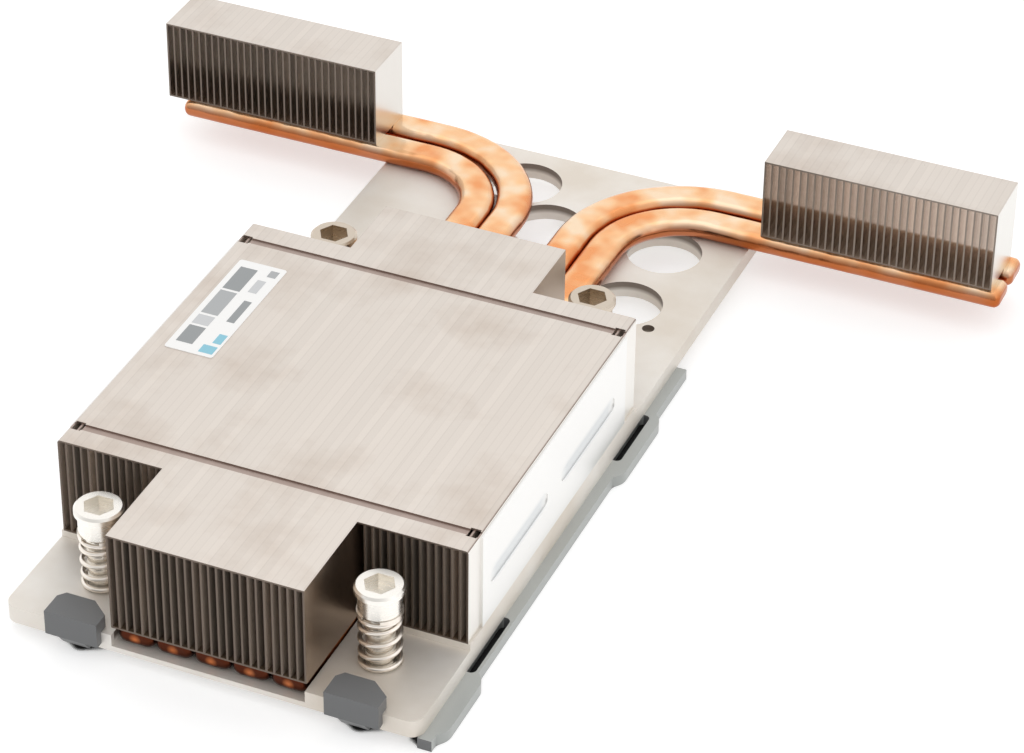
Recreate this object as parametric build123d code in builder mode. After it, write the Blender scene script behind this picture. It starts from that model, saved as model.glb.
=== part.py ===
from build123d import *
import os

os.makedirs("parts", exist_ok=True)

# A passive heatsink for a server processor, low enough for a one-unit case. The origin is at the centre of
# the contact pad's underside, +X is to the right, +Y towards the remote fin blocks and +Z up. Sizes in mm.

# Base plate
plate_width = 78.0
plate_thickness = 3.4
plate_front_y = -58.9
plate_rear_y = 113.0
plate_corner_r = 2.5
land_height = 1.3
land_front_y = -38.0
land_rear_y = 37.0

# Clearance windows and small hole behind the fins, as (x, y)
window_r = 7.4
window_points = [(-10.3, 101.4), (-0.5, 88.9), (23.8, 69.6), (24.3, 89.3)]
small_hole_r = 1.2
small_hole_point = (31.1, 63.5)

# Contact pad under the plate, and the plastic frame of the same height round it
pad_width = 50.0
pad_depth = 70.0
pad_height = 2.2
pad_chamfer = 0.6

# Heat pipes, flattened
pipe_width = 7.1
pipe_thickness = 3.6
pipe_pitch = 7.2
pipe_side_gap = 0.2
pipe_front_inset = 1.4
pipe_rise_start_y = 54.5
pipe_rise_run = 6.5
pipe_rise_bend_r = 9.0
pipe_inner_bend_r = 16.2
pipe_outer_bend_r = 23.8
pipe_end_overhangs = {"left": -3.6, "right": 2.0}
centre_pipe_end_y = 50.0
pipe_end_r = 1.3

# Folded fins
fin_pitch = 1.45
fin_sheet = 0.35
centre_channels = 25
side_channels = 14
fin_height = 19.6
front_fin_y = -58.4
rear_fin_y = 52.6
side_sheet = 0.4
shoulder_r = 0.6
cover_drop = 0.6

# Lock lines pressed across the top of the main block, and the shallow beads in its side sheets
lock_line_width = 1.7
lock_line_depth = 0.3
front_lock_y = -32.9
rear_lock_y = 31.6
lock_notch_width = 1.9
lock_notch_length = 2.4
lock_notch_inset = 0.4
bead_width = 2.6
bead_depth = 0.2
bead_length = 25.0
bead_z = 15.2
bead_centres_y = [-17.2, 13.8]

# Remote fin blocks
wing_channels = 32
wing_height = 17.0
wing_depth = 12.8
wing_inner_x = 41.2
wing_centre_y = 103.5
wing_pipe_pitch = 8.4

# Captive nuts with their clips and springs
screw_spacing_x = 52.5
screw_spacing_y = 92.8
head_r = 4.4
head_thickness = 1.2
head_top_z = 22.0
head_edge_chamfer = 0.4
hex_across_flats = 5.0
hex_depth = 3.2
neck_r = 3.8
shank_r = 2.6
bore_gap = 0.08
nut_bottom_z = 0.6
thread_r = 1.65
thread_depth = 8.0
clip_thickness = 0.7
clip_gap = 0.05
clip_groove_depth = 0.4
spring_clip_r = 4.0
stop_clip_r = 4.2
clip_mouth = 3.4
spring_outer_r = 3.9
spring_wire_r = 0.45
spring_turns = 4.25
spring_wire_sides = 8
spring_height = 10.6

# Plastic frame
frame_edge_inset = 0.6
frame_pad_gap = 2.0
frame_front_y = -54.0
frame_rear_y = 58.4
frame_screw_r = 5.4
frame_corner_r = 1.5
rail_reach = 2.3
rail_height = 2.2
rail_front_y = -58.4
bulge_reach = 1.5
bulge_spans_y = [(-57.2, -38.4), (20.6, 43.4)]
rail_window_spans_y = [(-39.5, -23.5), (26.2, 41.6)]
rail_window_width = 2.0
rail_window_inset = 0.4
lug_centres_x = [-25.0, 27.4]
lug_width = 10.0
lug_wall = 1.5
lug_reach = 4.5
lug_tab = 2.5
lug_clearance = 0.1
lug_chamfer_x = 3.4
lug_chamfer_y = 2.8
lug_bottom_z = 3.4
lug_tongue_width = 5.0
lug_tongue_thickness = 0.8

# Label on the top of the main block
label_width = 9.6
label_length = 30.6
label_thickness = 0.12
label_point = (-30.2, 9.8)

# Heights and places that follow from the sizes above
plate_bottom_z = pad_height
plate_top_z = plate_bottom_z + plate_thickness
land_top_z = plate_top_z + land_height
plate_half = plate_width / 2
pipe_low_z = land_top_z - pipe_thickness / 2
pipe_high_z = plate_top_z + pipe_thickness / 2
channel_floor_z = land_top_z - pipe_thickness
channel_width = 4 * pipe_pitch + pipe_width + 2 * pipe_side_gap
channel_rear_y = pipe_rise_start_y + pipe_rise_run + pipe_rise_bend_r * 0.3
fin_top_z = land_top_z + fin_height
wing_bottom_z = plate_top_z + pipe_thickness
wing_width = wing_channels * fin_pitch + fin_sheet
centre_half = (centre_channels * fin_pitch + fin_sheet) / 2
side_stack_width = side_channels * fin_pitch
wing_pipe_rows = [wing_centre_y - wing_pipe_pitch / 2, wing_centre_y + wing_pipe_pitch / 2]
pipe_front_y = plate_front_y + pipe_front_inset
screw_points = {
    "front_left": (-screw_spacing_x / 2, -screw_spacing_y / 2),
    "front_right": (screw_spacing_x / 2, -screw_spacing_y / 2),
    "rear_left": (-screw_spacing_x / 2, screw_spacing_y / 2),
    "rear_right": (screw_spacing_x / 2, screw_spacing_y / 2),
}


def save(builder, name):
    """Label one finished piece and write its file."""
    builder.part.label = name
    export_step(builder.part, f"parts/{name}.step")


# Base plate: one milled plate with a land under the fins and a channel for the pipes
plate_length = plate_rear_y - plate_front_y
plate_middle_y = (plate_rear_y + plate_front_y) / 2
with BuildPart() as base_plate:
    with BuildSketch(Plane.XY.offset(plate_bottom_z)):
        with Locations((0, plate_middle_y)):
            RectangleRounded(plate_width, plate_length, plate_corner_r)
    extrude(amount=plate_thickness)
    with BuildSketch(Plane.XY.offset(plate_top_z)):
        with Locations((0, (land_front_y + land_rear_y) / 2)):
            Rectangle(plate_width, land_rear_y - land_front_y)
    extrude(amount=land_height)
    with BuildSketch(Plane.XY.offset(channel_floor_z)):
        with Locations((0, (plate_front_y + channel_rear_y) / 2)):
            Rectangle(channel_width, channel_rear_y - plate_front_y)
    extrude(amount=land_top_z - channel_floor_z, mode=Mode.SUBTRACT)
    with BuildSketch(Plane.XY.offset(plate_bottom_z)):
        with Locations(*screw_points.values()):
            Circle(shank_r + bore_gap)
        with Locations(*window_points):
            Circle(window_r)
        with Locations(small_hole_point):
            Circle(small_hole_r)
    extrude(amount=plate_thickness, mode=Mode.SUBTRACT)
save(base_plate, "base_plate")

# Contact pad: the lapped face that meets the processor
with BuildPart() as contact_pad:
    with BuildSketch():
        Rectangle(pad_width, pad_depth)
    extrude(amount=pad_height)
    chamfer(contact_pad.faces().sort_by(Axis.Z)[0].edges(), pad_chamfer)
save(contact_pad, "contact_pad")


def heat_pipe(points, radii):
    """Sweep the flattened tube along straight runs and bends, with both ends closed round."""
    with BuildPart() as pipe:
        with BuildLine() as route:
            if radii:
                FilletPolyline(*points, radius=radii)
            else:
                Line(*points)
        with BuildSketch(Plane(origin=points[0], x_dir=(1, 0, 0), z_dir=(0, 1, 0))):
            SlotOverall(pipe_width, pipe_thickness)
        sweep(path=route.wire())
        for end in (route.wire() @ 0, route.wire() @ 1):
            fillet(pipe.faces().sort_by_distance(end)[0].edges(), pipe_end_r)
    return pipe


# Heat pipes: four run back in the channel, rise on to the plate and turn out under a remote fin block
wing_outer_x = wing_inner_x + wing_width
pipe_bends = [
    ("inner", 2, wing_pipe_rows[0], pipe_inner_bend_r),
    ("outer", 1, wing_pipe_rows[1], pipe_outer_bend_r),
]
for side, sign in (("left", -1), ("right", 1)):
    for place, step, row_y, bend_r in pipe_bends:
        pipe_x = sign * step * pipe_pitch
        pipe_route = [
            (pipe_x, pipe_front_y, pipe_low_z),
            (pipe_x, pipe_rise_start_y, pipe_low_z),
            (pipe_x, pipe_rise_start_y + pipe_rise_run, pipe_high_z),
            (pipe_x, row_y, pipe_high_z),
            (sign * (wing_outer_x + pipe_end_overhangs[side]), row_y, pipe_high_z),
        ]
        pipe = heat_pipe(pipe_route, [pipe_rise_bend_r, pipe_rise_bend_r, bend_r])
        save(pipe, f"heat_pipe_{side}_{place}")

centre_route = [(0, pipe_front_y, pipe_low_z), (0, centre_pipe_end_y, pipe_low_z)]
save(heat_pipe(centre_route, []), "heat_pipe_centre")


def fin_stack(first_x, channels, front_y, rear_y, bottom_z, height, end_sheet=True, lock_lines=()):
    """Fold a row of C-shaped fins whose flanges close each air channel above and below."""
    width = channels * fin_pitch + (fin_sheet if end_sheet else 0)
    first_channel_x = first_x + (fin_sheet if end_sheet else 0)
    channel = fin_pitch - fin_sheet
    channel_height = height - 2 * fin_sheet
    with BuildPart() as stack:
        with BuildSketch(Plane(origin=(0, front_y, 0), x_dir=(1, 0, 0), z_dir=(0, -1, 0))):
            with Locations((first_x + width / 2, bottom_z + height / 2)):
                Rectangle(width, height)
            for i in range(channels):
                with Locations((first_channel_x + i * fin_pitch + channel / 2, bottom_z + height / 2)):
                    Rectangle(channel, channel_height, mode=Mode.SUBTRACT)
        extrude(amount=-(rear_y - front_y))
        for line_y in lock_lines:
            with BuildSketch(Plane.XY.offset(bottom_z + height)):
                with Locations((first_x + width / 2, line_y)):
                    Rectangle(width, lock_line_width)
            extrude(amount=-lock_line_depth, mode=Mode.SUBTRACT)
    return stack


# Main fins: the centre group is longer at both ends, the side groups match the land
lock_lines_y = (front_lock_y, rear_lock_y)
fin_stack_centre = fin_stack(
    -centre_half, centre_channels, front_fin_y, rear_fin_y, land_top_z, fin_height, lock_lines=lock_lines_y
)
save(fin_stack_centre, "fin_stack_centre")

side_sheet_x = centre_half + side_stack_width
notch_x = side_sheet_x - lock_notch_inset - lock_notch_width / 2
land_length = land_rear_y - land_front_y
for side, mirrored in (("left", True), ("right", False)):
    group = fin_stack(
        centre_half, side_channels, land_front_y, land_rear_y, land_top_z, fin_height, False, lock_lines_y
    )
    with BuildPart() as side_group:
        add(group.part)
        with BuildSketch(Plane.XY.offset(fin_top_z)):
            with Locations(*[(notch_x, line_y) for line_y in lock_lines_y]):
                Rectangle(lock_notch_width, lock_notch_length)
        extrude(amount=-fin_sheet, mode=Mode.SUBTRACT)
        # The outer fin is bent over, so its top edge is round
        with BuildSketch(Plane(origin=(0, land_front_y, 0), x_dir=(1, 0, 0), z_dir=(0, -1, 0))):
            with Locations((side_sheet_x, fin_top_z)):
                Rectangle(2 * shoulder_r, 2 * shoulder_r)
            with Locations((side_sheet_x - shoulder_r, fin_top_z - shoulder_r)):
                Circle(shoulder_r, mode=Mode.SUBTRACT)
        extrude(amount=-land_length, mode=Mode.SUBTRACT)
        if mirrored:
            mirror(about=Plane.YZ, mode=Mode.REPLACE)
    save(side_group, f"fin_stack_{side}")

# Side covers: thin sheets hooked in at the lock lines, each with two long shallow beads
cover_height = fin_height - cover_drop
for side, sign in (("left", -1), ("right", 1)):
    with BuildPart() as side_cover:
        with BuildSketch(Plane.YZ.offset(sign * side_sheet_x)):
            with Locations(((front_lock_y + rear_lock_y) / 2, land_top_z + cover_height / 2)):
                Rectangle(rear_lock_y - front_lock_y, cover_height)
        extrude(amount=sign * side_sheet)
        with BuildSketch(Plane.YZ.offset(sign * (side_sheet_x + side_sheet))):
            with Locations(*[(y, bead_z) for y in bead_centres_y]):
                SlotOverall(bead_length, bead_width)
        extrude(amount=-sign * bead_depth, mode=Mode.SUBTRACT)
    save(side_cover, f"side_cover_{side}")

# Remote fin blocks: shorter stacks that sit on two pipes each
for side, first_x in (("left", -wing_outer_x), ("right", wing_inner_x)):
    wing_stack = fin_stack(
        first_x, wing_channels, wing_centre_y - wing_depth / 2, wing_centre_y + wing_depth / 2,
        wing_bottom_z, wing_height,
    )
    save(wing_stack, f"remote_fins_{side}")

# Captive nuts: a flanged head with a hex socket, a neck, and a shank that runs in the plate
spring_clip_top_z = plate_top_z + spring_height + clip_thickness
stop_clip_top_z = plate_bottom_z - clip_gap
head_bottom_z = head_top_z - head_thickness


def clip_ring(outer_r, groove_r, top_z, centre):
    """Stamp an open ring that snaps into a groove of the nut."""
    with BuildPart() as clip:
        with BuildSketch(Plane.XY.offset(top_z - clip_thickness)):
            with Locations(centre):
                Circle(outer_r)
                Circle(groove_r + clip_gap, mode=Mode.SUBTRACT)
            with Locations((centre[0], centre[1] - outer_r)):
                Rectangle(clip_mouth, 2 * (outer_r - groove_r), mode=Mode.SUBTRACT)
        extrude(amount=clip_thickness)
    return clip


for corner, (screw_x, screw_y) in screw_points.items():
    with BuildPart() as captive_nut:
        with BuildSketch(Plane.XZ.offset(-screw_y)):
            with BuildLine():
                Polyline(
                    (screw_x, nut_bottom_z),
                    (screw_x + shank_r, nut_bottom_z),
                    (screw_x + shank_r, spring_clip_top_z + clip_gap),
                    (screw_x + neck_r, spring_clip_top_z + clip_gap),
                    (screw_x + neck_r, head_bottom_z),
                    (screw_x + head_r, head_bottom_z),
                    (screw_x + head_r, head_top_z - head_edge_chamfer),
                    (screw_x + head_r - head_edge_chamfer, head_top_z),
                    (screw_x, head_top_z),
                    close=True,
                )
            make_face()
            for clip_top in (spring_clip_top_z, stop_clip_top_z):
                groove_height = clip_thickness + 2 * clip_gap
                with Locations((screw_x + shank_r, clip_top + clip_gap - groove_height / 2)):
                    Rectangle(2 * clip_groove_depth, groove_height, mode=Mode.SUBTRACT)
        revolve(axis=Axis((screw_x, screw_y, 0), (0, 0, 1)))
        with BuildSketch(Plane.XY.offset(head_top_z)):
            with Locations((screw_x, screw_y)):
                RegularPolygon(hex_across_flats / 2, 6, major_radius=False)
        extrude(amount=-hex_depth, mode=Mode.SUBTRACT)
        with BuildSketch(Plane.XY.offset(nut_bottom_z)):
            with Locations((screw_x, screw_y)):
                Circle(thread_r)
        extrude(amount=thread_depth, mode=Mode.SUBTRACT)
    save(captive_nut, f"captive_nut_{corner}")

    groove_r = shank_r - clip_groove_depth
    save(clip_ring(spring_clip_r, groove_r, spring_clip_top_z, (screw_x, screw_y)), f"spring_clip_{corner}")
    save(clip_ring(stop_clip_r, groove_r, stop_clip_top_z, (screw_x, screw_y)), f"stop_clip_{corner}")

    # The coil is cut flat at both ends, where it seats on the plate and under its clip.
    # Its wire has eight sides, which keeps the faces of four coils few.
    coil_r = spring_outer_r - spring_wire_r
    coil_pitch = spring_height / spring_turns
    with BuildPart() as spring:
        with BuildLine(Plane.XY.offset(plate_top_z)) as coil:
            Helix(coil_pitch, spring_height, coil_r, center=(screw_x, screw_y, 0))
        with BuildSketch(Plane(origin=coil.line @ 0, z_dir=coil.line % 0)):
            RegularPolygon(spring_wire_r, spring_wire_sides)
        sweep(path=coil.line, is_frenet=True)
        with BuildSketch(Plane.XY.offset(plate_top_z)):
            with Locations((screw_x, screw_y)):
                Circle(spring_outer_r + spring_wire_r)
        extrude(amount=spring_height, mode=Mode.INTERSECT)
    save(spring, f"spring_{corner}")

# Plastic frame: a ring under the plate, a rail along its right edge and two lugs over its front edge
frame_half = plate_half - frame_edge_inset
rail_length = frame_rear_y - rail_front_y
lug_tab_bottom_z = plate_top_z + lug_clearance
lug_top_z = lug_tab_bottom_z + lug_tab
lug_back_y = plate_front_y - lug_clearance
lug_front_y = lug_back_y - lug_wall
with BuildPart() as plastic_frame:
    with BuildSketch():
        with Locations((0, (frame_front_y + frame_rear_y) / 2)):
            RectangleRounded(2 * frame_half, frame_rear_y - frame_front_y, frame_corner_r)
        RectangleRounded(pad_width + 2 * frame_pad_gap, pad_depth + 2 * frame_pad_gap, frame_corner_r,
                         mode=Mode.SUBTRACT)
        with Locations(*screw_points.values()):
            Circle(frame_screw_r, mode=Mode.SUBTRACT)
    extrude(amount=pad_height)
    with BuildSketch():
        with Locations((frame_half + rail_reach / 2, (frame_rear_y + rail_front_y) / 2)):
            Rectangle(rail_reach + frame_edge_inset, rail_length)
        for start_y, end_y in bulge_spans_y:
            bulge_width = 2 * (rail_reach + frame_edge_inset / 2 + bulge_reach)
            with Locations((frame_half, (start_y + end_y) / 2)):
                RectangleRounded(bulge_width, end_y - start_y, bulge_width * 0.45)
        with Locations((0, 0)):
            Rectangle(2 * frame_half, 2 * rail_length, mode=Mode.SUBTRACT)
    extrude(amount=rail_height)
    with BuildSketch():
        for start_y, end_y in rail_window_spans_y:
            with Locations((plate_half + rail_window_inset, (start_y + end_y) / 2)):
                SlotOverall(end_y - start_y, rail_window_width, rotation=90)
    extrude(amount=rail_height, mode=Mode.SUBTRACT)
    for lug_x in lug_centres_x:
        lug_left_x = lug_x - lug_width / 2
        lug_right_x = lug_x + lug_width / 2
        with BuildSketch(Plane.XY.offset(lug_bottom_z)):
            with Locations((lug_x, (lug_front_y + lug_back_y) / 2)):
                Rectangle(lug_width, lug_wall)
        extrude(amount=lug_top_z - lug_bottom_z)
        with BuildSketch(Plane.XY.offset(lug_tab_bottom_z)):
            with BuildLine():
                Polyline(
                    (lug_left_x, lug_front_y),
                    (lug_right_x, lug_front_y),
                    (lug_right_x, lug_back_y + lug_reach - lug_chamfer_y),
                    (lug_right_x - lug_chamfer_x, lug_back_y + lug_reach),
                    (lug_left_x + lug_chamfer_x / 3, lug_back_y + lug_reach),
                    (lug_left_x, lug_back_y + lug_reach - lug_chamfer_y / 2),
                    close=True,
                )
            make_face()
        extrude(amount=lug_tab)
        # A tongue joins the lug to the ring under the plate
        tongue_bottom_z = pad_height - lug_tongue_thickness
        with BuildSketch(Plane.YZ.offset(lug_x)):
            with BuildLine():
                Polyline(
                    (lug_front_y, lug_bottom_z),
                    (lug_back_y, lug_bottom_z),
                    (lug_back_y, pad_height),
                    (frame_front_y, pad_height),
                    (frame_front_y, tongue_bottom_z),
                    (lug_back_y, tongue_bottom_z),
                    close=True,
                )
            make_face()
        extrude(amount=lug_tongue_width / 2, both=True)
save(plastic_frame, "plastic_frame")

# Label: thin film on the left group of fins
with BuildPart() as label:
    with BuildSketch(Plane.XY.offset(fin_top_z)):
        with Locations(label_point):
            RectangleRounded(label_width, label_length, 0.6)
    extrude(amount=label_thickness)
save(label, "label")
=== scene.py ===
import math

import bpy
from mathutils import Matrix, Vector


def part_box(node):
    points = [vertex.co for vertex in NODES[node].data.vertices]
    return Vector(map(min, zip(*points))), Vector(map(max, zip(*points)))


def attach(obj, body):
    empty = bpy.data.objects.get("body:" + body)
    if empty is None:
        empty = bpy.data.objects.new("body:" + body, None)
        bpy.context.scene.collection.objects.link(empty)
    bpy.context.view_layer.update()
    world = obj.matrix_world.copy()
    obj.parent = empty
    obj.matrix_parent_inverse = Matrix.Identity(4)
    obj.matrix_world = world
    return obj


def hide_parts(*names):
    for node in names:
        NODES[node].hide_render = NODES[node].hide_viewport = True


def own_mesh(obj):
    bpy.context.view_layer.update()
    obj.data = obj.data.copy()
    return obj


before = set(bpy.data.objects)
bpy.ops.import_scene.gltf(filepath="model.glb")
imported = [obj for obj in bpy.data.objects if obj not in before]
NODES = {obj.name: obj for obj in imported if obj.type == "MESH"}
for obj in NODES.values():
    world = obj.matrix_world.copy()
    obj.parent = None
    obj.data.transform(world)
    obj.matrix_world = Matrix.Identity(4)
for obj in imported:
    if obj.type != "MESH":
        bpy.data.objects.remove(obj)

bl_info = {
    "name": "Server Heatsink Looks",
    "version": (1, 0, 0),
    "blender": (4, 5, 0),
    "location": "3D View > Sidebar > Heatsink",
    "description": "Finishes, coil springs, label and stage for a low server processor heatsink",
    "category": "Object",
}

CORNERS = ("front_left", "front_right", "rear_left", "rear_right")
# Each stack's channel wall roughness, wall, floor, outer side and sheared end colours, and how much its strips
# differ at random. The main stacks' darker walls and floors are painted shade deep in their channels, and the
# centre stack's darker outer side is painted shade too. The remote blocks' paler walls and floors are painted
# light, for the light that gets through their short channels. The sheared ends are bare cut metal, darkened
# further by painted shade.
FIN_FINISHES_AND_SHADE = {
    "fin_stack_centre": (0.75, "C9BAAC", "96836F", "BBA896", "776B62", 0.5),
    "fin_stack_left": (0.8, "E9DCD0", "96836F", "F3F0EB", "776B62", 0.5),
    "fin_stack_right": (0.75, "CFC0B2", "96836F", "F3F0EB", "776B62", 0.5),
    "remote_fins_left": (0.3, "DFD4CA", "A38C7B", "E2DED8", "7B7067", 0.1),
    "remote_fins_right": (0.14, "DDD0C5", "D8C2AF", "EAE8E3", "8F847A", 0.1),
}
PIPE_NODES = (
    "heat_pipe_left_inner",
    "heat_pipe_left_outer",
    "heat_pipe_right_inner",
    "heat_pipe_right_outer",
    "heat_pipe_centre",
)
TO_MM = 1000.0
PLATE_TOP_MM = 5.6
PIPE_PITCH_MM = 7.2
PIPE_MIDDLE_MM = 4.8
# The two beads of each side cover, in millimetres: middle between them, distance apart and height
BEADS_MIDDLE_Y_MM = -1.7
BEADS_APART_MM = 31.0
BEADS_Z_MM = 15.2


def cad_bounds():
    """Lowest and highest corner of all CAD nodes, in metres."""
    boxes = [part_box(name) for name in NODES]
    low = [min(box[0][i] for box in boxes) for i in range(3)]
    high = [max(box[1][i] for box in boxes) for i in range(3)]
    return [low, high]


CAD_BOUNDS = cad_bounds()


def middle(node):
    """Centre of a CAD node's box, as a vector."""
    low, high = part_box(node)
    return (Vector(low) + Vector(high)) / 2


def linear(hex_colour):
    """An sRGB hex colour as linear red, green, blue and full alpha."""
    values = []
    for i in (0, 2, 4):
        c = int(hex_colour[i:i + 2], 16) / 255
        values.append(c / 12.92 if c <= 0.04045 else ((c + 0.055) / 1.055) ** 2.4)
    return (*values, 1.0)


class FinSizes(bpy.types.PropertyGroup):
    pitch: bpy.props.FloatProperty(
        name="Fin pitch",
        description="Distance from one folded fin to the next",
        default=0.00145,
        min=0.0005,
        unit="LENGTH",
    )
    seam: bpy.props.FloatProperty(
        name="Seam width",
        description="Width of the shallow groove where two fin flanges meet",
        default=0.00022,
        min=0.00005,
        unit="LENGTH",
    )


class SpringSizes(bpy.types.PropertyGroup):
    coil_radius: bpy.props.FloatProperty(
        name="Coil radius",
        description="From the coil's axis to the middle of its wire",
        default=0.00345,
        min=0.001,
        unit="LENGTH",
    )
    wire_radius: bpy.props.FloatProperty(
        name="Wire radius",
        description="Radius of the spring wire",
        default=0.00045,
        min=0.0001,
        unit="LENGTH",
    )
    turns: bpy.props.FloatProperty(
        name="Open turns",
        description="Turns of the coil between its two closed ends",
        default=3.25,
        min=1.0,
    )
    travel: bpy.props.FloatProperty(
        name="Travel",
        description="How far a nut can be pressed down against its spring",
        default=0.003,
        min=0.0,
        unit="LENGTH",
    )


class FinishColours(bpy.types.PropertyGroup):
    nickel: bpy.props.FloatVectorProperty(
        name="Nickel plating",
        description="Colour of the nickel plating, a little warm",
        subtype="COLOR",
        size=4,
        min=0.0,
        max=1.0,
        default=linear("E2D9D0"),
    )
    copper: bpy.props.FloatVectorProperty(
        name="Copper tube",
        description="Colour of the bare copper tubes",
        subtype="COLOR",
        size=4,
        min=0.0,
        max=1.0,
        default=linear("F6BC92"),
    )
    frame_plastic: bpy.props.FloatVectorProperty(
        name="Frame plastic",
        description="Colour of the moulded frame",
        subtype="COLOR",
        size=4,
        min=0.0,
        max=1.0,
        default=linear("6F7071"),
    )


class StageSizes(bpy.types.PropertyGroup):
    floor_size: bpy.props.FloatProperty(
        name="Floor size",
        description="Side of the pale floor",
        default=6.0,
        min=0.5,
        unit="LENGTH",
    )
    focal_length: bpy.props.FloatProperty(
        name="Focal length",
        description="Camera lens, in millimetres",
        default=132.69,
        min=10.0,
    )


def add_node(tree, kind, inputs=None, **settings):
    """Add a shader node with its settings, and feed its inputs from sockets or plain values."""
    node = tree.nodes.new(kind)
    for key, value in settings.items():
        setattr(node, key, value)
    for key, value in (inputs or {}).items():
        if isinstance(value, bpy.types.NodeSocket):
            tree.links.new(value, node.inputs[key])
        else:
            node.inputs[key].default_value = value
    return node


def new_material(name):
    """A material with an empty tree, its Principled shader and its output joined."""
    material = bpy.data.materials.new(name)
    material.use_nodes = True
    tree = material.node_tree
    tree.nodes.clear()
    shader = add_node(tree, "ShaderNodeBsdfPrincipled")
    add_node(tree, "ShaderNodeOutputMaterial", {"Surface": shader.outputs["BSDF"]})
    return material, tree, shader


def place_in_mm(tree):
    """The surface point in millimetres, which doesn't slide because each CAD object sits at the origin."""
    coordinates = add_node(tree, "ShaderNodeTexCoord")
    inputs = {0: coordinates.outputs["Object"], "Scale": TO_MM}
    return add_node(tree, "ShaderNodeVectorMath", inputs, operation="SCALE").outputs["Vector"]


def grey(value):
    """A grey of this linear brightness."""
    return (value, value, value, 1.0)


def dress(material, nodes):
    """Give each CAD node this material in place of its own."""
    for name in nodes:
        mesh = NODES[name].data
        mesh.materials.clear()
        mesh.materials.append(material)


def soften_edges(name, width):
    """Round the sharp edges of a CAD node a little, so that they catch the light."""
    bevel = NODES[name].modifiers.new("Soft edges", "BEVEL")
    bevel.width = width
    bevel.segments = 2
    bevel.limit_method = "ANGLE"
    bevel.angle_limit = math.radians(35)


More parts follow.
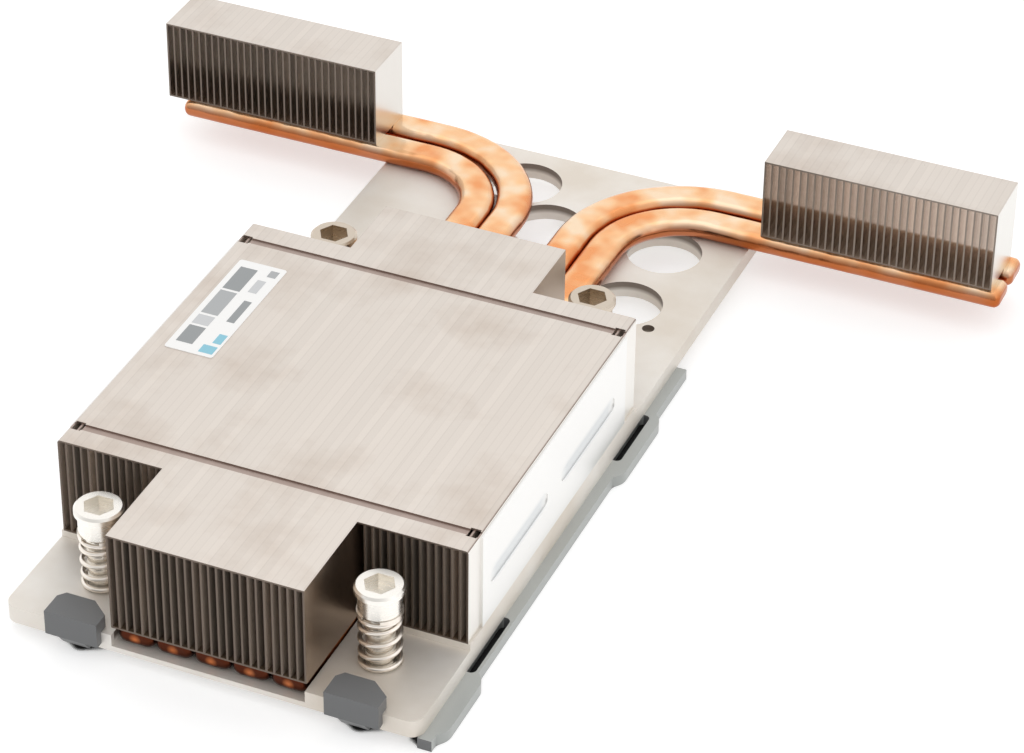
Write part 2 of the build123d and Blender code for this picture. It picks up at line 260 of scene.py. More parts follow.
def plated_fins(colours, sizes, node_name):
    """Nickel-plated aluminium strip, rolled and folded: bright tilted flanges, sheared ends of bare metal
    darkened by painted shade, and painted shade in the main stacks' channels and painted light in the remote
    ones.
    """
    material, tree, shader = new_material(f"Nickel-plated aluminium strip, {node_name.replace('_', ' ')}")
    wall_roughness, wall_colour, floor_colour, side_colour, end_colour, difference = FIN_FINISHES_AND_SHADE[node_name]
    low, high = ([value * TO_MM for value in corner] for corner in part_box(node_name))
    half = [(high[i] - low[i]) / 2 for i in range(3)]
    place = place_in_mm(tree)
    point = add_node(tree, "ShaderNodeSeparateXYZ", {0: place}).outputs
    geometry = add_node(tree, "ShaderNodeNewGeometry")
    facing = add_node(tree, "ShaderNodeSeparateXYZ", {0: geometry.outputs["Normal"]}).outputs

    # The kinds of face, and the place within a fin, worked out step by step: result, operation, two inputs
    values = {"x": point["X"], "y": point["Y"], "z": point["Z"]}
    values |= {"facing x": facing["X"], "facing y": facing["Y"], "facing z": facing["Z"]}
    steps = (
        ("looks up", "GREATER_THAN", "facing z", 0.7),
        ("at top", "GREATER_THAN", "z", high[2] - 0.1),
        ("flange top", "MULTIPLY", "looks up", "at top"),
        ("at bottom", "LESS_THAN", "z", low[2] + 1.0),
        ("channel floor", "MULTIPLY", "looks up", "at bottom"),
        ("end on", "ABSOLUTE", "facing y", 0.0),
        ("looks along", "GREATER_THAN", "end on", 0.7),
        ("from middle y", "SUBTRACT", "y", low[1] + half[1]),
        ("reach y", "ABSOLUTE", "from middle y", 0.0),
        ("at end", "GREATER_THAN", "reach y", half[1] - 0.1),
        ("sheared end", "MULTIPLY", "looks along", "at end"),
        ("side on", "ABSOLUTE", "facing x", 0.0),
        ("looks aside", "GREATER_THAN", "side on", 0.7),
        ("from middle x", "SUBTRACT", "x", low[0] + half[0]),
        ("reach x", "ABSOLUTE", "from middle x", 0.0),
        ("at side", "GREATER_THAN", "reach x", half[0] - 0.1),
        ("outer side", "MULTIPLY", "looks aside", "at side"),
        ("channel wall", "SUBTRACT", "looks aside", "outer side"),
        ("near top", "GREATER_THAN", "z", high[2] - 1.0),
        ("not down", "GREATER_THAN", "facing z", -0.5),
        ("open above", "MULTIPLY", "near top", "not down"),
        ("below top", "SUBTRACT", "open above", "flange top"),
        ("not aside", "SUBTRACT", 1.0, "looks aside"),
        ("not end", "SUBTRACT", 1.0, "sheared end"),
        ("lock line all", "MULTIPLY", "below top", "not aside"),
        ("lock line", "MULTIPLY", "lock line all", "not end"),
        ("from start", "SUBTRACT", "x", low[0]),
        ("along", "DIVIDE", "from start", sizes.pitch * TO_MM),
        ("fin number", "FLOOR", "along", 0.0),
        ("within fin", "FRACT", "along", 0.0),
        ("at seam", "LESS_THAN", "within fin", sizes.seam / sizes.pitch),
        ("seam", "MULTIPLY", "at seam", "flange top"),
    )
    for result, operation, first, second in steps:
        inputs = {0: values.get(first, first), 1: values.get(second, second)}
        values[result] = add_node(tree, "ShaderNodeMath", inputs, operation=operation).outputs[0]
    # Each fin is a strip of its own, so its flange tilts and shines a little differently
    fin_shade = add_node(
        tree, "ShaderNodeTexWhiteNoise", {"W": values["fin number"]}, noise_dimensions="1D"
    ).outputs["Value"]

    # Handling stains 10 to 25 mm across, and short rolling marks, drawn at 0.6 mm because the real 0.01 mm
    # ones wouldn't show
    blotches = add_node(
        tree, "ShaderNodeTexNoise", {"Vector": place, "Scale": 1 / 20, "Detail": 5.0, "Roughness": 0.6}
    )
    stain = add_node(
        tree, "ShaderNodeMapRange",
        {"Value": blotches.outputs["Fac"], "From Min": 0.47, "From Max": 0.72, "To Min": 0.0, "To Max": 0.55},
    ).outputs["Result"]
    drawn_out = add_node(tree, "ShaderNodeMapping", {"Vector": place, "Scale": (1.0, 0.2, 1.0)})
    marks = add_node(
        tree, "ShaderNodeTexNoise", {"Vector": drawn_out.outputs["Vector"], "Scale": 1 / 0.6, "Detail": 2.0}
    ).outputs["Fac"]

    colour = add_node(
        tree, "ShaderNodeMix", {0: stain, 6: colours.nickel, 7: linear("C2B2A4")}, data_type="RGBA"
    ).outputs[2]
    roughness = add_node(
        tree, "ShaderNodeMath", {0: stain, 1: 0.2, 2: 0.26}, operation="MULTIPLY_ADD"
    ).outputs[0]
    roughness = add_node(
        tree, "ShaderNodeMath", {0: marks, 1: 0.06, 2: roughness}, operation="MULTIPLY_ADD"
    ).outputs[0]
    # What each kind of face looks like: its strength, colour and roughness. The lock line's brown is painted
    # shade in its groove; the channel walls, channel floors, outer sides and sheared ends take the painted
    # shade and painted light set in the table above
    zones = (
        ("seam", 0.08, "8F8176", 0.4),
        ("lock line", 0.8, "A8938A", 0.5),
        ("channel wall", 1.0, wall_colour, wall_roughness),
        ("outer side", 0.9, side_colour, 0.28),
        ("sheared end", 1.0, end_colour, 0.5),
        ("channel floor", 1.0, floor_colour, 0.6),
    )
    for kind, strength, zone_colour, zone_roughness in zones:
        inputs = {0: values[kind], 1: strength}
        share = add_node(tree, "ShaderNodeMath", inputs, operation="MULTIPLY").outputs[0]
        inputs = {0: share, 6: colour, 7: linear(zone_colour)}
        colour = add_node(tree, "ShaderNodeMix", inputs, data_type="RGBA").outputs[2]
        roughness = add_node(tree, "ShaderNodeMix", {0: share, 2: roughness, 3: zone_roughness}).outputs[0]
    # The strips differ more inside the channels than on their tops
    inputs = {0: values["channel wall"], 1: difference, 2: 0.05}
    spread = add_node(tree, "ShaderNodeMath", inputs, operation="MULTIPLY_ADD").outputs[0]
    dimming = add_node(tree, "ShaderNodeMath", {0: fin_shade, 1: spread}, operation="MULTIPLY").outputs[0]
    inputs = {0: dimming, 6: colour, 7: grey(0.0)}
    colour = add_node(tree, "ShaderNodeMix", inputs, data_type="RGBA").outputs[2]
    tree.links.new(colour, shader.inputs["Base Color"])
    tree.links.new(roughness, shader.inputs["Roughness"])
    shader.inputs["Metallic"].default_value = 1.0

    tilt = add_node(tree, "ShaderNodeMath", {0: fin_shade, 1: values["within fin"]}, operation="MULTIPLY")
    groove = add_node(tree, "ShaderNodeMath", {0: values["seam"], 1: -1.0}, operation="MULTIPLY").outputs[0]
    height = add_node(
        tree, "ShaderNodeMath", {0: tilt.outputs[0], 1: 0.25, 2: groove}, operation="MULTIPLY_ADD"
    ).outputs[0]
    bump = add_node(tree, "ShaderNodeBump", {"Height": height, "Strength": 0.14, "Distance": 0.00005})
    tree.links.new(bump.outputs["Normal"], shader.inputs["Normal"])
    return material


def plated_plate():
    """Nickel-plated aluminium plate, milled and blasted: a soft satin sheen, with painted shade on the upper
    part of its openings' walls.
    """
    material, tree, shader = new_material("Nickel-plated aluminium, milled and blasted")
    place = place_in_mm(tree)
    point = add_node(tree, "ShaderNodeSeparateXYZ", {0: place}).outputs
    geometry = add_node(tree, "ShaderNodeNewGeometry")
    facing = add_node(tree, "ShaderNodeSeparateXYZ", {0: geometry.outputs["Normal"]}).outputs
    wipe = add_node(tree, "ShaderNodeTexNoise", {"Vector": place, "Scale": 1 / 22, "Detail": 5.0})
    share = add_node(
        tree, "ShaderNodeMapRange", {"Value": wipe.outputs["Fac"], "From Min": 0.35, "From Max": 0.68}
    )
    colour = add_node(
        tree, "ShaderNodeMix",
        {0: share.outputs["Result"], 6: linear("F6F2EC"), 7: linear("E6DDD1")}, data_type="RGBA",
    )

    # The walls of the openings, worked out step by step: result, operation, two inputs. Their upper part is
    # coloured dark: painted shade
    low, high = ([value * TO_MM for value in corner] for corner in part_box("base_plate"))
    values = {"x": point["X"], "y": point["Y"], "z": point["Z"], "facing z": facing["Z"]}
    steps = (
        ("tilt", "ABSOLUTE", "facing z", 0.0),
        ("upright", "LESS_THAN", "tilt", 0.5),
        ("reach x", "ABSOLUTE", "x", 0.0),
        ("inside x", "LESS_THAN", "reach x", high[0] - 1.0),
        ("from middle y", "SUBTRACT", "y", (low[1] + high[1]) / 2),
        ("reach y", "ABSOLUTE", "from middle y", 0.0),
        ("inside y", "LESS_THAN", "reach y", (high[1] - low[1]) / 2 - 1.0),
        ("below land", "LESS_THAN", "z", PLATE_TOP_MM + 0.01),
        ("depth", "SUBTRACT", "z", PLATE_TOP_MM - 2.0),
        ("upper part", "MINIMUM", "depth", 1.0),
        ("shaded part", "MAXIMUM", "upper part", 0.0),
        ("inside", "MULTIPLY", "inside x", "inside y"),
        ("opening", "MULTIPLY", "inside", "below land"),
        ("wall", "MULTIPLY", "opening", "upright"),
        ("shaded wall", "MULTIPLY", "wall", "shaded part"),
    )
    for result, operation, first, second in steps:
        inputs = {0: values.get(first, first), 1: values.get(second, second)}
        values[result] = add_node(tree, "ShaderNodeMath", inputs, operation=operation).outputs[0]
    # Painted shade: the upper part of the openings' walls is mixed towards a dark brown grey
    colour = add_node(
        tree, "ShaderNodeMix",
        {0: values["shaded wall"], 6: colour.outputs[2], 7: linear("8A7E74")}, data_type="RGBA",
    )
    tree.links.new(colour.outputs[2], shader.inputs["Base Color"])
    shader.inputs["Metallic"].default_value = 0.55
    # Blasted grain, drawn at 0.4 mm because the real 0.05 mm grain wouldn't show
    grain = add_node(tree, "ShaderNodeTexNoise", {"Vector": place, "Scale": 1 / 0.4, "Detail": 2.0})
    roughness = add_node(
        tree, "ShaderNodeMath", {0: grain.outputs["Fac"], 1: 0.12, 2: 0.52}, operation="MULTIPLY_ADD"
    )
    tree.links.new(roughness.outputs[0], shader.inputs["Roughness"])
    bump = add_node(
        tree, "ShaderNodeBump", {"Height": grain.outputs["Fac"], "Strength": 0.1, "Distance": 0.00002}
    )
    tree.links.new(bump.outputs["Normal"], shader.inputs["Normal"])
    return material


def plated_side_sheet():
    """Nickel-plated aluminium sheet, pressed: smoother and whiter than the folded strip."""
    material, tree, shader = new_material("Nickel-plated aluminium sheet, pressed")
    place = place_in_mm(tree)
    point = add_node(tree, "ShaderNodeSeparateXYZ", {0: place}).outputs
    # The two beads, painted a little greyer as a painted reflection: result, operation, two inputs
    values = {"y": point["Y"], "z": point["Z"]}
    steps = (
        ("from between", "SUBTRACT", "y", BEADS_MIDDLE_Y_MM),
        ("reach", "ABSOLUTE", "from between", 0.0),
        ("from bead", "SUBTRACT", "reach", BEADS_APART_MM / 2),
        ("along bead", "ABSOLUTE", "from bead", 0.0),
        ("from line", "SUBTRACT", "z", BEADS_Z_MM),
        ("off line", "ABSOLUTE", "from line", 0.0),
    )
    for result, operation, first, second in steps:
        inputs = {0: values.get(first, first), 1: values.get(second, second)}
        values[result] = add_node(tree, "ShaderNodeMath", inputs, operation=operation).outputs[0]
    inputs = {"Value": values["along bead"], "From Min": 9.5, "From Max": 12.5, "To Min": 1.0, "To Max": 0.0}
    lengthways = add_node(tree, "ShaderNodeMapRange", inputs).outputs["Result"]
    inputs = {"Value": values["off line"], "From Min": 0.9, "From Max": 2.2, "To Min": 0.8, "To Max": 0.0}
    crossways = add_node(tree, "ShaderNodeMapRange", inputs).outputs["Result"]
    inputs = {0: lengthways, 1: crossways}
    bead = add_node(tree, "ShaderNodeMath", inputs, operation="MULTIPLY").outputs[0]
    inputs = {0: bead, 6: linear("F3F2F0"), 7: linear("D6D9DB")}
    colour = add_node(tree, "ShaderNodeMix", inputs, data_type="RGBA").outputs[2]
    tree.links.new(colour, shader.inputs["Base Color"])
    shader.inputs["Metallic"].default_value = 1.0
    # Rolling grain along Y, drawn at 0.4 mm because the real 0.01 mm grain wouldn't show
    drawn_out = add_node(tree, "ShaderNodeMapping", {"Vector": place, "Scale": (1.0, 0.04, 1.0)})
    grain = add_node(
        tree, "ShaderNodeTexNoise", {"Vector": drawn_out.outputs["Vector"], "Scale": 1 / 0.4, "Detail": 1.0}
    )
    roughness = add_node(
        tree, "ShaderNodeMath", {0: grain.outputs["Fac"], 1: 0.08, 2: 0.26}, operation="MULTIPLY_ADD"
    )
    tree.links.new(roughness.outputs[0], shader.inputs["Roughness"])
    return material


def lapped_pad(colours):
    """Nickel-plated copper, lapped: flat and fine, with an even dull mirror."""
    material, tree, shader = new_material("Nickel-plated copper, lapped")
    shader.inputs["Base Color"].default_value = colours.nickel
    shader.inputs["Metallic"].default_value = 1.0
    # Lapping marks, drawn at 0.5 mm because the real 0.005 mm marks wouldn't show
    marks = add_node(tree, "ShaderNodeTexNoise", {"Vector": place_in_mm(tree), "Scale": 1 / 0.5, "Detail": 3.0})
    roughness = add_node(
        tree, "ShaderNodeMath", {0: marks.outputs["Fac"], 1: 0.08, 2: 0.2}, operation="MULTIPLY_ADD"
    )
    tree.links.new(roughness.outputs[0], shader.inputs["Roughness"])
    return material


def copper_tube(colours):
    """Copper tube, drawn and pressed flat: warm gloss with straw tints from the solder heat, browner sides and
    dark front ends as painted shade, and a painted glint on each end.
    """
    material, tree, shader = new_material("Copper tube, drawn and pressed flat")
    place = place_in_mm(tree)
    point = add_node(tree, "ShaderNodeSeparateXYZ", {0: place}).outputs
    geometry = add_node(tree, "ShaderNodeNewGeometry")
    facing = add_node(tree, "ShaderNodeSeparateXYZ", {0: geometry.outputs["Normal"]}).outputs
    # Heat tints, 5 to 12 mm long
    tint = add_node(tree, "ShaderNodeTexNoise", {"Vector": place, "Scale": 1 / 9, "Detail": 2.0})
    heat = add_node(tree, "ShaderNodeValToRGB", {"Fac": tint.outputs["Fac"]})
    stops = heat.color_ramp.elements
    stops[0].position = 0.38
    stops[0].color = linear("FFEACB")
    stops[1].position = 0.64
    stops[1].color = linear("F49F5E")
    stops.new(0.5).color = linear("FFD09E")
    colour = add_node(
        tree, "ShaderNodeMix", {0: 0.2, 6: heat.outputs["Color"], 7: colours.copper}, data_type="RGBA"
    ).outputs[2]
    # The sides and the underside are painted a darker brown than the top: painted shade that rounds the flat
    # tubes
    side_shade = add_node(
        tree, "ShaderNodeMapRange",
        {"Value": facing["Z"], "From Min": 0.3, "From Max": 0.99, "To Min": 0.9, "To Max": 0.0},
    )
    # The pinched front ends are painted dark: painted shade, with a spot in the middle of each left bright as a
    # painted
    # glint, worked out step by step: result, operation, two inputs
    values = {"x": point["X"], "z": point["Z"]}
    steps = (
        ("pipe place", "DIVIDE", "x", PIPE_PITCH_MM),
        ("pipe number", "ROUND", "pipe place", 0.0),
        ("across share", "SUBTRACT", "pipe place", "pipe number"),
        ("across", "MULTIPLY", "across share", PIPE_PITCH_MM),
        ("up", "SUBTRACT", "z", PIPE_MIDDLE_MM),
        ("across squared", "MULTIPLY", "across", "across"),
        ("up squared", "MULTIPLY", "up", "up"),
        ("both squared", "ADD", "across squared", "up squared"),
        ("from middle", "SQRT", "both squared", 0.0),
    )
    for result, operation, first, second in steps:
        inputs = {0: values.get(first, first), 1: values.get(second, second)}
        values[result] = add_node(tree, "ShaderNodeMath", inputs, operation=operation).outputs[0]
    outside_glint = add_node(
        tree, "ShaderNodeMapRange", {"Value": values["from middle"], "From Min": 0.2, "From Max": 1.2}
    )
    front = add_node(
        tree, "ShaderNodeMapRange",
        {"Value": point["Y"], "From Min": -52.0, "From Max": -48.0, "To Min": 0.95, "To Max": 0.0},
    )
    end_shade = add_node(
        tree, "ShaderNodeMath", {0: front.outputs["Result"], 1: outside_glint.outputs["Result"]}, operation="MULTIPLY"
    )
    for mask, tone in ((side_shade.outputs["Result"], "B05A2A"), (end_shade.outputs[0], "431E14")):
        inputs = {0: mask, 6: colour, 7: linear(tone)}
        colour = add_node(tree, "ShaderNodeMix", inputs, data_type="RGBA").outputs[2]
    tree.links.new(colour, shader.inputs["Base Color"])
    shader.inputs["Metallic"].default_value = 1.0
    roughness = add_node(
        tree, "ShaderNodeMath", {0: tint.outputs["Fac"], 1: 0.26, 2: 0.1}, operation="MULTIPLY_ADD"
    )
    tree.links.new(roughness.outputs[0], shader.inputs["Roughness"])
    # Shallow dents from the bending and flattening tools, about 5 mm long
    dents = add_node(tree, "ShaderNodeTexNoise", {"Vector": place, "Scale": 1 / 5, "Detail": 1.0})
    bump = add_node(
        tree, "ShaderNodeBump", {"Height": dents.outputs["Fac"], "Strength": 0.6, "Distance": 0.0008}
    )
    tree.links.new(bump.outputs["Normal"], shader.inputs["Normal"])
    return material


def turned_nut(name, hex_colour):
    """Nickel-plated steel, turned: bright, with fine rings from the tool."""
    material, tree, shader = new_material(name)
    shader.inputs["Base Color"].default_value = linear(hex_colour)
    shader.inputs["Metallic"].default_value = 1.0
    # Tool rings, drawn at 0.5 mm because the real 0.1 mm rings wouldn't show
    flattened = add_node(tree, "ShaderNodeMapping", {"Vector": place_in_mm(tree), "Scale": (0.05, 0.05, 1.0)})
    rings = add_node(
        tree, "ShaderNodeTexNoise", {"Vector": flattened.outputs["Vector"], "Scale": 1 / 0.5, "Detail": 1.0}
    )
    roughness = add_node(
        tree, "ShaderNodeMath", {0: rings.outputs["Fac"], 1: 0.15, 2: 0.2}, operation="MULTIPLY_ADD"
    )
    tree.links.new(roughness.outputs[0], shader.inputs["Roughness"])
    return material


def spring_wire():
    """Spring steel wire, drawn and nickel-plated: a small bright line along each turn."""
    material, _, shader = new_material("Spring steel wire, drawn and plated")
    shader.inputs["Base Color"].default_value = linear("FBF3E9")
    shader.inputs["Metallic"].default_value = 1.0
    shader.inputs["Roughness"].default_value = 0.3
    return material


def moulded_frame(colours):
    """Glass-filled polyamide, moulded against a spark-eroded tool: mid grey with a fine dull grain, and painted
    light on the right rail's outer faces.
    """
    material, tree, shader = new_material("Polyamide, moulded with a fine grain")
    place = place_in_mm(tree)
    # The thin rail on the right is smoother, and its faces that look right and upward are painted paler than
    # the thick lugs: painted light
    point = add_node(tree, "ShaderNodeSeparateXYZ", {0: place}).outputs
    geometry = add_node(tree, "ShaderNodeNewGeometry")
    facing = add_node(tree, "ShaderNodeSeparateXYZ", {0: geometry.outputs["Normal"]}).outputs
    on_right = add_node(tree, "ShaderNodeMapRange", {"Value": point["X"], "From Min": 38.0, "From Max": 39.0})
    outward = add_node(tree, "ShaderNodeMath", {0: facing["X"], 1: facing["Z"]}, operation="MAXIMUM")
    is_outer = add_node(tree, "ShaderNodeMath", {0: outward.outputs[0], 1: 0.4}, operation="GREATER_THAN")
    rail = add_node(
        tree, "ShaderNodeMath", {0: on_right.outputs["Result"], 1: is_outer.outputs[0]}, operation="MULTIPLY"
    ).outputs[0]
    colour = add_node(
        tree, "ShaderNodeMix", {0: rail, 6: colours.frame_plastic, 7: linear("B4B7B4")}, data_type="RGBA"
    )
    tree.links.new(colour.outputs[2], shader.inputs["Base Color"])
    roughness = add_node(tree, "ShaderNodeMix", {0: rail, 2: 0.42, 3: 0.3})
    tree.links.new(roughness.outputs[0], shader.inputs["Roughness"])
    shader.inputs["IOR"].default_value = 1.53
    # Grain of the eroded tool, drawn at 0.3 mm because the real 0.05 mm grain wouldn't show
    grain = add_node(tree, "ShaderNodeTexNoise", {"Vector": place, "Scale": 1 / 0.3, "Detail": 2.0})
    bump = add_node(
        tree, "ShaderNodeBump", {"Height": grain.outputs["Fac"], "Strength": 0.2, "Distance": 0.00003}
    )
    tree.links.new(bump.outputs["Normal"], shader.inputs["Normal"])
    return material


def printed_label(name, hex_colour):
    """Coated paper, printed: an even field of colour with a soft sheen."""
    material, _, shader = new_material(name)
    shader.inputs["Base Color"].default_value = linear(hex_colour)
    shader.inputs["Roughness"].default_value = 0.45
    shader.inputs["IOR"].default_value = 1.5
    return material


def new_mesh_object(name, vertices, faces, smooth=False):
    """A mesh object in the scene, at the origin."""
    mesh = bpy.data.meshes.new(name)
    mesh.from_pydata(vertices, [], faces)
    mesh.update()
    mesh.polygons.foreach_set("use_smooth", [smooth] * len(mesh.polygons))
    item = bpy.data.objects.new(name, mesh)
    bpy.context.scene.collection.objects.link(item)
    return item


def coil_points(sizes, bottom, top, centre, steps_per_turn=28):
    """Points down the middle of a compression spring's wire, with one closed turn at each end."""
    wire = sizes.wire_radius
    low = bottom + wire
    high = top - wire
    closed_rise = 2 * wire
    total = sizes.turns + 2
    count = int(total * steps_per_turn)
    points = []
    for i in range(count + 1):
        turn = total * i / count
        if turn < 1:
            z = low + closed_rise * turn * turn / 2
        elif turn > total - 1:
            left = total - turn
            z = high - closed_rise * left * left / 2
        else:
            share = (turn - 1) / sizes.turns
            start = low + closed_rise / 2
            z = start + (high - closed_rise / 2 - start) * share
        angle = 2 * math.pi * turn
        points.append(Vector((
            centre.x + sizes.coil_radius * math.cos(angle),
            centre.y + sizes.coil_radius * math.sin(angle),
            z,
        )))
    return points


def tube_along(points, radius, sides=12):
    """Vertices and faces of a round wire along the points, closed at both ends."""
    vertices = []
    faces = []
    for i, point in enumerate(points):
        ahead = points[min(i + 1, len(points) - 1)] - points[max(i - 1, 0)]
        side = ahead.cross(Vector((0, 0, 1))).normalized()
        lift = side.cross(ahead).normalized()
        for k in range(sides):
            angle = 2 * math.pi * k / sides
            vertices.append(point + radius * (math.cos(angle) * side + math.sin(angle) * lift))
    for i in range(len(points) - 1):
        for k in range(sides):
            a = i * sides + k
            b = i * sides + (k + 1) % sides
            faces.append((a, b, b + sides, a + sides))
    faces.append(tuple(range(sides)))
    last = (len(points) - 1) * sides
    faces.append(tuple(last + k for k in reversed(range(sides))))
    return vertices, faces


class HEATSINK_OT_fins(bpy.types.Operator):
    """Finish the folded fins, the remote fin blocks and the side covers"""

    bl_idname = "heatsink.fins"
    bl_label = "Finish the Fins"

    def execute(self, context):
        sizes = context.scene.heatsink_fins
        colours = context.scene.heatsink_colours
        for name in FIN_FINISHES_AND_SHADE:
            dress(plated_fins(colours, sizes, name), (name,))
        dress(plated_side_sheet(), ("side_cover_left", "side_cover_right"))
        soften_edges("side_cover_left", 0.0002)
        soften_edges("side_cover_right", 0.0002)
        return {"FINISHED"}


class HEATSINK_OT_plate(bpy.types.Operator):
    """Finish the base plate and the contact pad"""

    bl_idname = "heatsink.plate"
    bl_label = "Finish the Plate"

    def execute(self, context):
        colours = context.scene.heatsink_colours
        dress(plated_plate(), ("base_plate",))
        dress(lapped_pad(colours), ("contact_pad",))
        soften_edges("base_plate", 0.0002)
        return {"FINISHED"}


class HEATSINK_OT_pipes(bpy.types.Operator):
    """Finish the heat pipes"""

    bl_idname = "heatsink.pipes"
    bl_label = "Finish the Heat Pipes"

    def execute(self, context):
        dress(copper_tube(context.scene.heatsink_colours), PIPE_NODES)
        return {"FINISHED"}


class HEATSINK_OT_nuts(bpy.types.Operator):
    """Finish the captive nuts and clips, and wind the springs under them"""

    bl_idname = "heatsink.nuts"
    bl_label = "Finish the Nuts and Springs"

    def execute(self, context):
        sizes = context.scene.heatsink_springs
        # The two nuts next to the pipes look browner: they get a darker, browner copy of the same finish,
        # painted shade
        nut_finishes = {
            "front": turned_nut("Nickel-plated steel, turned", "FCF8F1"),
            "rear": turned_nut("Nickel-plated steel, turned, browner", "D3C6B6"),
        }
        wire_finish = spring_wire()
        for corner in CORNERS:
            dress(nut_finishes[corner.split("_")[0]], (f"captive_nut_{corner}",))
            dress(wire_finish, (f"spring_clip_{corner}", f"stop_clip_{corner}"))
            node = f"spring_{corner}"
            low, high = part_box(node)
            points = coil_points(sizes, low[2], high[2], middle(node))
            vertices, faces = tube_along(points, sizes.wire_radius)
            coil = new_mesh_object(f"coil_{corner}", vertices, faces, smooth=True)
            coil.data.materials.append(wire_finish)
            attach(coil, "heatsink")
            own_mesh(coil)
            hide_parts(node)
        return {"FINISHED"}


class HEATSINK_OT_frame(bpy.types.Operator):
    """Finish the moulded plastic frame"""

    bl_idname = "heatsink.frame"
    bl_label = "Finish the Frame"

    def execute(self, context):
        dress(moulded_frame(context.scene.heatsink_colours), ("plastic_frame",))
        soften_edges("plastic_frame", 0.0002)
        return {"FINISHED"}


# Plain fields printed on the label, as (ink, x0, y0, x1, y1) with shares of its width and length
LABEL_FIELDS = (
    ("dark grey", 0.12, 0.08, 0.46, 0.26),
    ("pale grey", 0.12, 0.28, 0.46, 0.38),
    ("mid grey", 0.12, 0.40, 0.47, 0.66),
    ("dark grey", 0.12, 0.68, 0.48, 0.93),
    ("dark grey", 0.70, 0.37, 0.86, 0.61),
    ("pale grey", 0.62, 0.70, 0.80, 0.84),
    ("mid grey", 0.72, 0.89, 0.90, 0.96),
    ("teal", 0.66, 0.03, 0.95, 0.11),
    ("teal", 0.78, 0.14, 0.95, 0.24),
)
LABEL_INKS = {"dark grey": "9A9D9E", "mid grey": "B1B3B4", "pale grey": "CFD0D1", "teal": "8FCBDD"}


class HEATSINK_OT_label(bpy.types.Operator):
    """Finish the label and print its plain fields of colour"""

    bl_idname = "heatsink.label"
    bl_label = "Finish the Label"

    def execute(self, context):
        dress(printed_label("Coated label paper", "FBFAF8"), ("label",))
        low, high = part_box("label")
        width = high[0] - low[0]
        length = high[1] - low[1]
        ink_z = high[2] + 0.00001
        vertices = []
        faces = []
        for ink, x0, y0, x1, y1 in LABEL_FIELDS:
            first = len(vertices)
            for x, y in ((x0, y0), (x1, y0), (x1, y1), (x0, y1)):
                vertices.append((low[0] + x * width, low[1] + y * length, ink_z))
            faces.append(tuple(range(first, first + 4)))
        fields = new_mesh_object("label_fields", vertices, faces)
        for ink, hex_colour in LABEL_INKS.items():
            fields.data.materials.append(printed_label(f"Printing ink, {ink}", hex_colour))
        for polygon, (ink, *_) in zip(fields.data.polygons, LABEL_FIELDS):
            polygon.material_index = list(LABEL_INKS).index(ink)
        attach(fields, "heatsink")
        return {"FINISHED"}


# How far the floor's own colour is lifted towards white, where a strength of 1 is white
FLOOR_GLOW = 0.5


def shown_rays(tree):
    """1 for rays that show the background: those from the camera, from gloss and through glass."""
    path = add_node(tree, "ShaderNodeLightPath").outputs
    inputs = {0: path["Is Camera Ray"], 1: path["Is Glossy Ray"]}
    seen = add_node(tree, "ShaderNodeMath", inputs, operation="MAXIMUM").outputs[0]
    inputs = {0: seen, 1: path["Is Transmission Ray"]}
    return add_node(tree, "ShaderNodeMath", inputs, operation="MAXIMUM").outputs[0]


def add_floor(size):
    """Matt white table top. It shows white to the camera and in gloss, and keeps the object's shadow."""
    half = size / 2
    corners = [(-half, -half, 0), (half, -half, 0), (half, half, 0), (-half, half, 0)]
    floor = new_mesh_object("floor", corners, [(0, 1, 2, 3)])
    floor.location.z = CAD_BOUNDS[0][2]
    material, tree, shader = new_material("Matt white table top")
    # Painted shade: in narrow gaps such as the rail's windows, where no light gets in, the floor's colour and
    # glow are turned down to near black
    nearby = add_node(tree, "ShaderNodeAmbientOcclusion", {"Distance": 0.003}, samples=64)
    open_floor = add_node(
        tree, "ShaderNodeMapRange", {"Value": nearby.outputs["AO"], "From Min": 0.38, "From Max": 0.46}
    ).outputs["Result"]
    colour = add_node(
        tree, "ShaderNodeMix", {0: open_floor, 6: grey(0.01), 7: linear("D8D8D8")}, data_type="RGBA"
    )
    tree.links.new(colour.outputs[2], shader.inputs["Base Color"])
    shader.inputs["Roughness"].default_value = 0.9
    shader.inputs["Emission Color"].default_value = (1, 1, 1, 1)
    glow = add_node(tree, "ShaderNodeMath", {0: shown_rays(tree), 1: FLOOR_GLOW}, operation="MULTIPLY")
    glow = add_node(tree, "ShaderNodeMath", {0: glow.outputs[0], 1: open_floor}, operation="MULTIPLY")
    tree.links.new(glow.outputs[0], shader.inputs["Emission Strength"])
    floor.data.materials.append(material)


def light_world():
    """Even white light from all round. In gloss, the white room shows, and its darker side."""
    world = bpy.data.worlds.new("Studio")
    bpy.context.scene.world = world
    world.use_nodes = True
    tree = world.node_tree
    tree.nodes.clear()
    coordinates = add_node(tree, "ShaderNodeTexCoord")
    towards = add_node(tree, "ShaderNodeSeparateXYZ", {0: coordinates.outputs["Generated"]}).outputs
    room = add_node(
        tree, "ShaderNodeMapRange",
        {"Value": towards["Y"], "From Min": -0.75, "From Max": -0.2, "To Min": 0.6, "To Max": 1.0},
    )
    path = add_node(tree, "ShaderNodeLightPath").outputs
    strength = add_node(tree, "ShaderNodeMix", {0: shown_rays(tree), 2: 0.92, 3: room.outputs["Result"]})
    strength = add_node(
        tree, "ShaderNodeMix", {0: path["Is Camera Ray"], 2: strength.outputs[0], 3: 1.0}
    )
    background = add_node(tree, "ShaderNodeBackground", {"Color": grey(1.0), "Strength": strength.outputs[0]})
    add_node(tree, "ShaderNodeOutputWorld", {"Surface": background.outputs["Background"]})


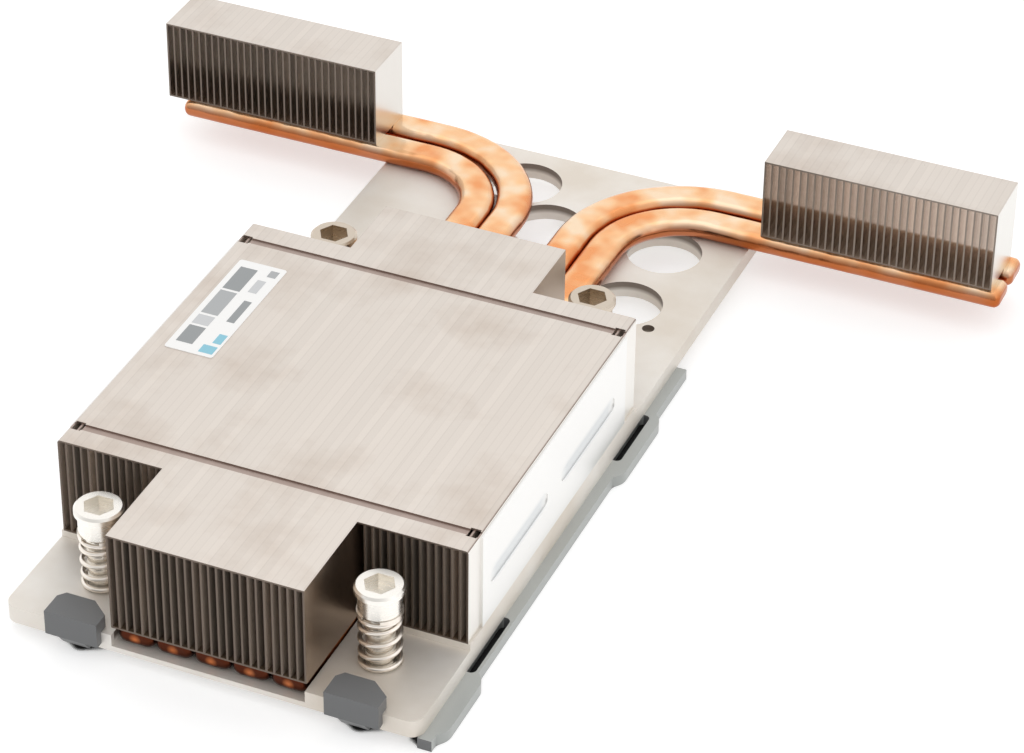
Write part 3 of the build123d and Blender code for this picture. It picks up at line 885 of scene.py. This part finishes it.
def add_area_light(name, place, target, size, watts):
    """A soft square lamp that points at the target."""
    data = bpy.data.lights.new(name, "AREA")
    data.size = size
    data.energy = watts
    lamp = bpy.data.objects.new(name, data)
    lamp.location = place
    lamp.rotation_euler = (Vector(target) - Vector(place)).to_track_quat("-Z", "Y").to_euler()
    bpy.context.scene.collection.objects.link(lamp)


def add_camera(focal_length):
    """The camera at the photograph's viewing angle, solved from the object's straight edges."""
    data = bpy.data.cameras.new("camera")
    data.sensor_width = 36.0
    data.sensor_fit = "HORIZONTAL"
    data.lens = focal_length
    data.clip_start = 0.01
    camera = bpy.data.objects.new("camera", data)
    right = Vector((0.91884641, 0.39447713, 0.01044335)).normalized()
    down = Vector((0.23521893, -0.52625697, -0.81714482)).normalized()
    ahead = right.cross(down)
    turn = Matrix((right, -down, -ahead)).transposed().to_4x4()
    camera.matrix_world = Matrix.Translation((0.23587483, -0.48950931, 0.40957762)) @ turn
    bpy.context.scene.collection.objects.link(camera)
    bpy.context.scene.camera = camera


class HEATSINK_OT_stage(bpy.types.Operator):
    """Set up the pale floor, the soft light and the camera"""

    bl_idname = "heatsink.stage"
    bl_label = "Set the Stage"

    def execute(self, context):
        sizes = context.scene.heatsink_stage
        add_floor(sizes.floor_size)
        light_world()
        target = (0.0, 0.02, 0.0)
        # Low enough that the pale tops don't clip to white when a lamp shows in them
        add_area_light("overhead soft box", (-0.2, 0.3, 0.9), target, 0.8, 0.5)
        add_area_light("side soft box", (0.9, -0.2, 0.5), target, 0.6, 0.28)
        add_camera(sizes.focal_length)
        context.scene.view_settings.view_transform = "Standard"
        return {"FINISHED"}


OPERATORS = (
    HEATSINK_OT_fins,
    HEATSINK_OT_plate,
    HEATSINK_OT_pipes,
    HEATSINK_OT_nuts,
    HEATSINK_OT_frame,
    HEATSINK_OT_label,
    HEATSINK_OT_stage,
)
SETTINGS = {
    "heatsink_fins": FinSizes,
    "heatsink_springs": SpringSizes,
    "heatsink_colours": FinishColours,
    "heatsink_stage": StageSizes,
}


class HEATSINK_PT_panel(bpy.types.Panel):
    """Sizes, colours and steps of the heatsink's looks"""

    bl_idname = "HEATSINK_PT_panel"
    bl_label = "Server Heatsink"
    bl_space_type = "VIEW_3D"
    bl_region_type = "UI"
    bl_category = "Heatsink"

    def draw(self, context):
        layout = self.layout
        for attribute, group in SETTINGS.items():
            box = layout.box()
            for key in group.__annotations__:
                box.prop(getattr(context.scene, attribute), key)
        for operator in OPERATORS:
            layout.operator(operator.bl_idname)


def register():
    for item in (*SETTINGS.values(), *OPERATORS, HEATSINK_PT_panel):
        bpy.utils.register_class(item)
    for attribute, group in SETTINGS.items():
        setattr(bpy.types.Scene, attribute, bpy.props.PointerProperty(type=group))


def unregister():
    for attribute in SETTINGS:
        delattr(bpy.types.Scene, attribute)
    for item in reversed((*SETTINGS.values(), *OPERATORS, HEATSINK_PT_panel)):
        bpy.utils.unregister_class(item)


def main():
    """Run every step in order."""
    register()
    bpy.ops.heatsink.fins()
    bpy.ops.heatsink.plate()
    bpy.ops.heatsink.pipes()
    bpy.ops.heatsink.nuts()
    bpy.ops.heatsink.frame()
    bpy.ops.heatsink.label()
    bpy.ops.heatsink.stage()


if __name__ == "__main__":
    main()
